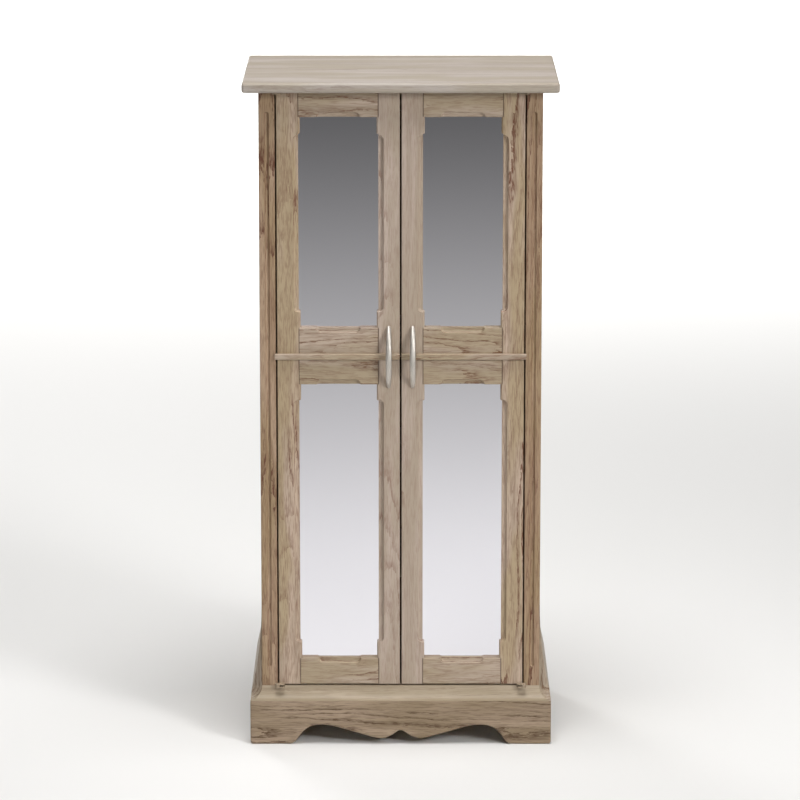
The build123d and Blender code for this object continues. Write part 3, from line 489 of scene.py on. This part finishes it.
def bow_handle(name, door):
    """A subdivided bow that stands where the handle's box is."""
    low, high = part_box(f"{door}_handle")
    middle_x, middle_z = (low.x + high.x) / 2, (low.z + high.z) / 2
    face_y = high.y
    reach, width = high.y - low.y, high.x - low.x
    half_span = (high.z - low.z) / 2 - bow_foot_thick * foot_inset
    rise = reach - bow_thick / 2
    radius = (half_span ** 2 + rise ** 2) / (2 * rise)
    widest = np.arcsin(half_span / radius)
    steps = [widest * (2 * k / (bow_rings - 1) - 1) for k in range(bow_rings)]
    steps[1:1] = [steps[0] + foot_cut / radius]
    steps[-1:-1] = [steps[-1] - foot_cut / radius]
    rings = []
    for angle in steps:
        share = abs(angle) / widest
        half_thick = (bow_thick + (bow_foot_thick - bow_thick) * share ** 2) / 2
        half_width = (width - foot_slimmer * share ** 2) / 2
        along = Vector((0.0, sin(angle), cos(angle)))
        outward = Vector((0.0, -cos(angle), sin(angle)))
        centre = Vector((middle_x, face_y + radius - rise, middle_z)) + outward * radius
        ring = []
        for corner in range(ring_corners):
            turn = 2 * pi * corner / ring_corners
            point = centre + outward * half_thick * swell_out * cos(turn)
            point.x += half_width * swell_across * sin(turn)
            if abs(angle) == widest or point.y > face_y:
                point -= along * ((point.y - face_y) / along.y)
            ring.append(point)
        rings.append(ring)
    points = [point for ring in rings for point in ring]
    faces = []
    for ring_start in range(0, len(points) - ring_corners, ring_corners):
        for corner in range(ring_corners):
            here, beside = ring_start + corner, ring_start + (corner + 1) % ring_corners
            faces.append((here, beside, beside + ring_corners, here + ring_corners))
    faces += [tuple(range(ring_corners)), tuple(range(len(points) - ring_corners, len(points)))]
    mesh = bpy.data.meshes.new(name)
    mesh.from_pydata(points, [], faces)
    shell = bmesh.new()
    shell.from_mesh(mesh)
    bmesh.ops.recalc_face_normals(shell, faces=shell.faces)
    creases = shell.edges.layers.float.new("crease_edge")
    for edge in shell.edges:
        at_foot = any(len(face.verts) == ring_corners for face in edge.link_faces)
        edge[creases] = 1.0 if at_foot else 0.0
    shell.to_mesh(mesh)
    shell.free()
    mesh.shade_smooth()
    mesh.materials.append(satin_nickel)
    made = bpy.data.objects.new(name, mesh)
    scene.collection.objects.link(made)
    rounding = made.modifiers.new("rounding", "SUBSURF")
    rounding.levels = rounding.render_levels = 2
    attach(made, door)
    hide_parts(f"{door}_handle")
    return made


for door in doors:
    bow = bow_handle(f"{door}_bow_handle", door)
    print(bow.name, len(bow.data.polygons), "faces before rounding")

# %% [markdown]
# ## Screws, nails and shelf pins
#
# Every screw, nail and pin in the cabinet is the same shape with other sizes: a
# head, a neck, a shank and a tip. So one Geometry Nodes tree makes them all. It shapes a
# cylinder of five rings, cuts a cross in the head of a screw, and sets a copy on each point,
# turned to the way it was driven and spun by a fixed seed, as no two screws stop alike.
#
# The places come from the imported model: each fitting is one separate solid there, so its
# axis and its thick end say where the head is and which way the screw points.

# %% Where the fixings are
same_point = 1e-6  # corners this close are one corner
end_slice = 0.0004  # how near an end a corner counts towards its thickness


def solids_of(cad_node):
    """The corner points of each separate solid in a node, as arrays."""
    shell = bmesh.new()
    shell.from_mesh(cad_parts[cad_node].data)
    bmesh.ops.remove_doubles(shell, verts=shell.verts, dist=same_point)
    unseen, solids = set(shell.verts), []
    while unseen:
        to_visit = [unseen.pop()]
        solid = []
        while to_visit:
            corner = to_visit.pop()
            solid.append(corner.co[:])
            near = {other for link in corner.link_edges for other in link.verts} & unseen
            unseen -= near
            to_visit.extend(near)
        solids.append(np.array(solid))
    shell.free()
    return sorted(solids, key=lambda solid: tuple(solid.mean(0).round(4)))


def driven_from(solid):
    """The middle of a fixing's thick end, and the unit direction that it points in."""
    low, high = solid.min(0), solid.max(0)
    axis = int(np.argmax(high - low))
    across = np.delete(solid, axis, axis=1) - np.delete((low + high) / 2, axis)
    thickness = [
        np.abs(across[np.abs(solid[:, axis] - end) < end_slice]).max() for end in (low[axis], high[axis])
    ]
    start = (low + high) / 2
    direction = np.zeros(3)
    direction[axis] = 1.0 if thickness[0] >= thickness[1] else -1.0
    start[axis] = low[axis] if direction[axis] > 0 else high[axis]
    return start, direction


def points_object(name, starts, directions):
    """A mesh of loose points, each with the direction that its fixing is driven in."""
    mesh = bpy.data.meshes.new(name)
    mesh.from_pydata([tuple(start) for start in starts], [], [])
    drive = mesh.attributes.new("drive", "FLOAT_VECTOR", "POINT")
    drive.data.foreach_set("vector", np.array(directions, np.float32).ravel())
    made = bpy.data.objects.new(name, mesh)
    scene.collection.objects.link(made)
    return made


print(len(solids_of("back_nails")), "nails,", len(solids_of("cabinet_screws")), "cabinet screws")

# %% The tree for turned fixings


def new_tree(name, sizes):
    """A Geometry Nodes tree with a Geometry input, these named inputs and a Geometry output."""
    made = bpy.data.node_groups.new(name, "GeometryNodeTree")
    made.interface.new_socket("Geometry", in_out="INPUT", socket_type="NodeSocketGeometry")
    for title, kind in sizes.items():
        made.interface.new_socket(title, in_out="INPUT", socket_type=f"NodeSocket{kind}")
    made.interface.new_socket("Geometry", in_out="OUTPUT", socket_type="NodeSocketGeometry")
    return made


def pick(tree, index, values):
    """The value with this index, for each ring."""
    switch = tree.nodes.new("GeometryNodeIndexSwitch")
    switch.data_type = "FLOAT"
    while len(switch.index_switch_items) < len(values):
        switch.index_switch_items.new()
    tree.links.new(index, switch.inputs[0])
    for slot_number, value in enumerate(values):
        tree.links.new(value, switch.inputs[slot_number + 1])
    return switch.outputs[0]


fixings = new_tree("turned_fixings", {
    "Head Radius": "Float", "Neck Radius": "Float", "Head Height": "Float", "Shank Radius": "Float",
    "Length": "Float", "Tip Length": "Float", "Tip Radius": "Float", "Cross Width": "Float",
    "Cross Depth": "Float", "Cross": "Bool", "Seed": "Int", "Finish": "Material",
})
given = fixings.nodes.new("NodeGroupInput").outputs
side_steps = 4  # five rings, one unit apart, so a ring's height is its number
blank = node(fixings, "GeometryNodeMeshCylinder", {
    "Vertices": 16, "Side Segments": side_steps, "Radius": 1.0, "Depth": side_steps,
})
spot = node(fixings, "ShaderNodeSeparateXYZ", {0: node(fixings, "GeometryNodeInputPosition")}).node.outputs
ring_number = node(fixings, "FunctionNodeFloatToInt", {
    0: maths(fixings, "ADD", spot["Z"], side_steps / 2),
}, rounding_mode="ROUND")
zero = node(fixings, "ShaderNodeValue")
tip_start = maths(fixings, "SUBTRACT", given["Length"], given["Tip Length"])
ring_height = pick(fixings, ring_number, [
    zero, given["Head Height"], given["Head Height"], tip_start, given["Length"],
])
ring_radius = pick(fixings, ring_number, [
    given["Head Radius"], given["Neck Radius"], given["Shank Radius"], given["Shank Radius"],
    given["Tip Radius"],
])
shaped = node(fixings, "GeometryNodeSetPosition", {
    "Geometry": blank,
    "Position": node(fixings, "ShaderNodeCombineXYZ", {
        "X": maths(fixings, "MULTIPLY", spot["X"], ring_radius),
        "Y": maths(fixings, "MULTIPLY", spot["Y"], ring_radius),
        "Z": ring_height,
    }),
})
shaped = node(fixings, "GeometryNodeMergeByDistance", {"Geometry": shaped, "Distance": same_point})
bar_length = maths(fixings, "MULTIPLY", given["Head Radius"], 1.2)
bar_depth = maths(fixings, "MULTIPLY", given["Cross Depth"], 2.0)
cross_bars = fixings.nodes.new("GeometryNodeJoinGeometry")
for long_way in (("X", "Y"), ("Y", "X")):
    size = node(fixings, "ShaderNodeCombineXYZ", {
        long_way[0]: bar_length, long_way[1]: given["Cross Width"], "Z": bar_depth,
    })
    fixings.links.new(node(fixings, "GeometryNodeMeshCube", {"Size": size}), cross_bars.inputs[0])
crossed = node(fixings, "GeometryNodeMeshBoolean", {
    "Mesh 1": shaped, "Mesh 2": cross_bars.outputs[0], "Self Intersection": True,
}, operation="DIFFERENCE", solver="EXACT")
one_fixing = node(fixings, "GeometryNodeSwitch", {
    "Switch": given["Cross"], "False": shaped, "True": crossed,
}, input_type="GEOMETRY")
spin = node(fixings, "FunctionNodeAxisAngleToRotation", {
    "Angle": node(fixings, "FunctionNodeRandomValue", {
        "Max": 2 * pi, "Seed": given["Seed"],
    }, out=1, data_type="FLOAT"),
})
driven = node(fixings, "FunctionNodeAlignRotationToVector", {
    "Vector": node(fixings, "GeometryNodeInputNamedAttribute", {"Name": "drive"}, data_type="FLOAT_VECTOR"),
}, axis="Z")
turned = node(fixings, "FunctionNodeRotateRotation", {
    "Rotation": driven, "Rotate By": spin,
}, rotation_space="LOCAL")
copies = node(fixings, "GeometryNodeInstanceOnPoints", {
    "Points": given["Geometry"], "Instance": one_fixing, "Rotation": turned,
})
real = node(fixings, "GeometryNodeRealizeInstances", {"Geometry": copies})
painted = node(fixings, "GeometryNodeSetMaterial", {"Geometry": real, "Material": given["Finish"]})
node(fixings, "NodeGroupOutput", {"Geometry": painted})
print("turned_fixings has", len(fixings.nodes), "nodes")

# %% Make the screws, nails and pins


def made_by_tree(points, tree, sizes, finish):
    """Run a tree on a points object and keep the result as its plain mesh."""
    modifier = points.modifiers.new("maker", "NODES")
    modifier.node_group = tree
    names = {item.name: item.identifier for item in tree.interface.items_tree if item.in_out == "INPUT"}
    for title, value in {**sizes, "Finish": finish}.items():
        modifier[names[title]] = value
    points.update_tag()
    bpy.context.view_layer.update()
    result = points.evaluated_get(bpy.context.evaluated_depsgraph_get())
    mesh = bpy.data.meshes.new_from_object(result)
    mesh.name = points.name
    points.modifiers.clear()
    points.data = mesh
    return points


def fit_fixings(name, body, cad_node, slot_name, seed, **sizes):
    """Replace a node of fixings, solid by solid."""
    starts, directions = zip(*[driven_from(solid) for solid in solids_of(cad_node)])
    sizes = {title.replace("_", " ").title(): value for title, value in sizes.items()}
    points = points_object(name, starts, directions)
    made = made_by_tree(points, fixings, {**sizes, "Seed": seed}, finish_of_slot[slot_name])
    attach(made, body)
    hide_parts(cad_node)
    print(name, len(starts), "pieces,", len(made.data.polygons), "faces")


small_screw = dict(
    head_radius=0.0025, neck_radius=0.00125, head_height=0.00125, shank_radius=0.00125, length=0.010,
    tip_length=0.002, tip_radius=0.0001, cross_width=0.0005, cross_depth=0.0008, cross=True,
)
top_screw = dict(
    small_screw, head_radius=0.004, neck_radius=0.002, head_height=0.002, shank_radius=0.002,
    length=0.025, cross_width=0.0008, cross_depth=0.0014,
)
handle_screw = dict(
    small_screw, head_radius=0.0026, neck_radius=0.004, head_height=0.0026, shank_radius=0.002,
    length=0.0266, tip_length=0.0005, tip_radius=0.0017, cross_width=0.0008, cross_depth=0.0014,
)
wire_nail = dict(
    small_screw, head_radius=0.0022, neck_radius=0.0022, head_height=0.0006, shank_radius=0.0009,
    length=0.018, tip_length=0.003, cross=False,
)
shelf_pin = dict(
    small_screw, head_radius=0.0021, neck_radius=0.0025, head_height=0.0005, shank_radius=0.0025,
    length=0.016, tip_length=0.0005, tip_radius=0.0021, cross=False,
)
fit_fixings("zinc_cabinet_screws", "cabinet", "cabinet_screws", "zinc_steel", 1, **small_screw)
fit_fixings("zinc_top_screws", "cabinet", "top_screws", "zinc_steel", 2, **top_screw)
fit_fixings("wire_nails", "cabinet", "back_nails", "zinc_steel", 3, **wire_nail)
fit_fixings("turned_shelf_pins", "cabinet", "shelf_pins", "zinc_steel", 4, **shelf_pin)
for seed, door in enumerate(doors, 5):
    fit_fixings(f"{door}_zinc_screws", door, f"{door}_small_screws", "zinc_steel", seed, **small_screw)
    fit_fixings(f"{door}_bow_screws", door, f"{door}_handle_screws", "zinc_steel", seed + 2, **handle_screw)

# %% [markdown]
# ## Cup hooks
#
# Six brass hooks stand in the rail at the back for necklaces. Each is one piece of wire: a
# shank straight out of the rail, a quarter turn, and a tip that stands up. The tree bends a
# straight line of points by a rule: up to the shank's length a point stays on the shank, past
# it the distance left is turned into an angle, and what is left after a quarter turn goes up.

# %% The tree for hooks
wire_points, collar_depth = 40, 0.0012
hooks = new_tree("wire_hooks", {
    "Wire Radius": "Float", "Shank Length": "Float", "Bend Radius": "Float", "Tip Length": "Float",
    "Collar Radius": "Float", "Collar Place": "Float", "Finish": "Material",
})
given = hooks.nodes.new("NodeGroupInput").outputs
quarter = maths(hooks, "MULTIPLY", given["Bend Radius"], pi / 2)
bent_length = maths(hooks, "ADD", given["Shank Length"], quarter)
wire_length = maths(hooks, "ADD", bent_length, given["Tip Length"])
wire = node(hooks, "GeometryNodeMeshLine", {
    "Count": wire_points, "Offset": (0.0, 0.0, 0.0),
}, mode="OFFSET")
share_gone = maths(hooks, "DIVIDE", node(hooks, "GeometryNodeInputIndex"), wire_points - 1.0)
gone = maths(hooks, "MULTIPLY", share_gone, wire_length)
on_shank = maths(hooks, "MINIMUM", gone, given["Shank Length"])
past_shank = maths(hooks, "SUBTRACT", gone, on_shank)
in_bend = maths(hooks, "MINIMUM", past_shank, quarter)
angle = maths(hooks, "DIVIDE", in_bend, given["Bend Radius"])
out = maths(hooks, "MULTIPLY_ADD", maths(hooks, "SINE", angle), given["Bend Radius"], on_shank)
fall_back = maths(hooks, "SUBTRACT", 1.0, maths(hooks, "COSINE", angle))
straight_up = maths(hooks, "SUBTRACT", past_shank, in_bend)
rise = maths(hooks, "MULTIPLY_ADD", fall_back, given["Bend Radius"], straight_up)
bent = node(hooks, "GeometryNodeSetPosition", {
    "Geometry": wire, "Position": node(hooks, "ShaderNodeCombineXYZ", {
        "Y": maths(hooks, "MULTIPLY", out, -1.0), "Z": rise,
    }),
})
round_wire = node(hooks, "GeometryNodeCurveToMesh", {
    "Curve": node(hooks, "GeometryNodeMeshToCurve", {"Mesh": bent}),
    "Profile Curve": node(hooks, "GeometryNodeCurvePrimitiveCircle", {
        "Resolution": 12, "Radius": given["Wire Radius"],
    }),
    "Fill Caps": True,
})
collar = node(hooks, "GeometryNodeTransform", {
    "Geometry": node(hooks, "GeometryNodeMeshCylinder", {
        "Vertices": 20, "Radius": given["Collar Radius"], "Depth": collar_depth,
    }),
    "Translation": node(hooks, "ShaderNodeCombineXYZ", {"Y": given["Collar Place"]}),
    "Rotation": (pi / 2, 0.0, 0.0),
})
tip_out = maths(hooks, "ADD", given["Shank Length"], given["Bend Radius"])
bead = node(hooks, "GeometryNodeTransform", {
    "Geometry": node(hooks, "GeometryNodeMeshUVSphere", {
        "Segments": 16, "Rings": 10,
        "Radius": maths(hooks, "MULTIPLY", given["Wire Radius"], 1.25),
    }),
    "Translation": node(hooks, "ShaderNodeCombineXYZ", {
        "Y": maths(hooks, "MULTIPLY", tip_out, -1.0),
        "Z": maths(hooks, "ADD", given["Bend Radius"], given["Tip Length"]),
    }),
})
one_hook = hooks.nodes.new("GeometryNodeJoinGeometry")
for part in (round_wire, collar, bead):
    hooks.links.new(part, one_hook.inputs[0])
copies = node(hooks, "GeometryNodeInstanceOnPoints", {
    "Points": given["Geometry"], "Instance": one_hook.outputs[0],
})
real = node(hooks, "GeometryNodeRealizeInstances", {"Geometry": copies})
smooth = node(hooks, "GeometryNodeSetShadeSmooth", {"Geometry": real})
painted = node(hooks, "GeometryNodeSetMaterial", {"Geometry": smooth, "Material": given["Finish"]})
node(hooks, "NodeGroupOutput", {"Geometry": painted})

# %% Hang the hooks in their rail
hook_solids = solids_of("necklace_hooks")
wire_radius, bend_radius, tip_length = 0.00175, 0.006, 0.007
starts = [
    ((solid[:, 0].min() + solid[:, 0].max()) / 2, solid[:, 1].max(), solid[:, 2].min() + wire_radius)
    for solid in hook_solids
]
shank_length = starts[0][1] - hook_solids[0][:, 1].min() - bend_radius - wire_radius
rail_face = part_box("hook_rail")[0].y
hook_row = points_object("brass_cup_hooks", starts, [(0.0, -1.0, 0.0)] * len(starts))
made_by_tree(hook_row, hooks, {
    "Wire Radius": wire_radius, "Shank Length": shank_length, "Bend Radius": bend_radius,
    "Tip Length": tip_length, "Collar Radius": 0.0042,
    "Collar Place": rail_face - starts[0][1] - collar_depth / 2,
}, dull_brass)
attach(hook_row, "cabinet")
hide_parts("necklace_hooks")
print(len(starts), "hooks, shank", round(shank_length * 1000, 1), "mm")
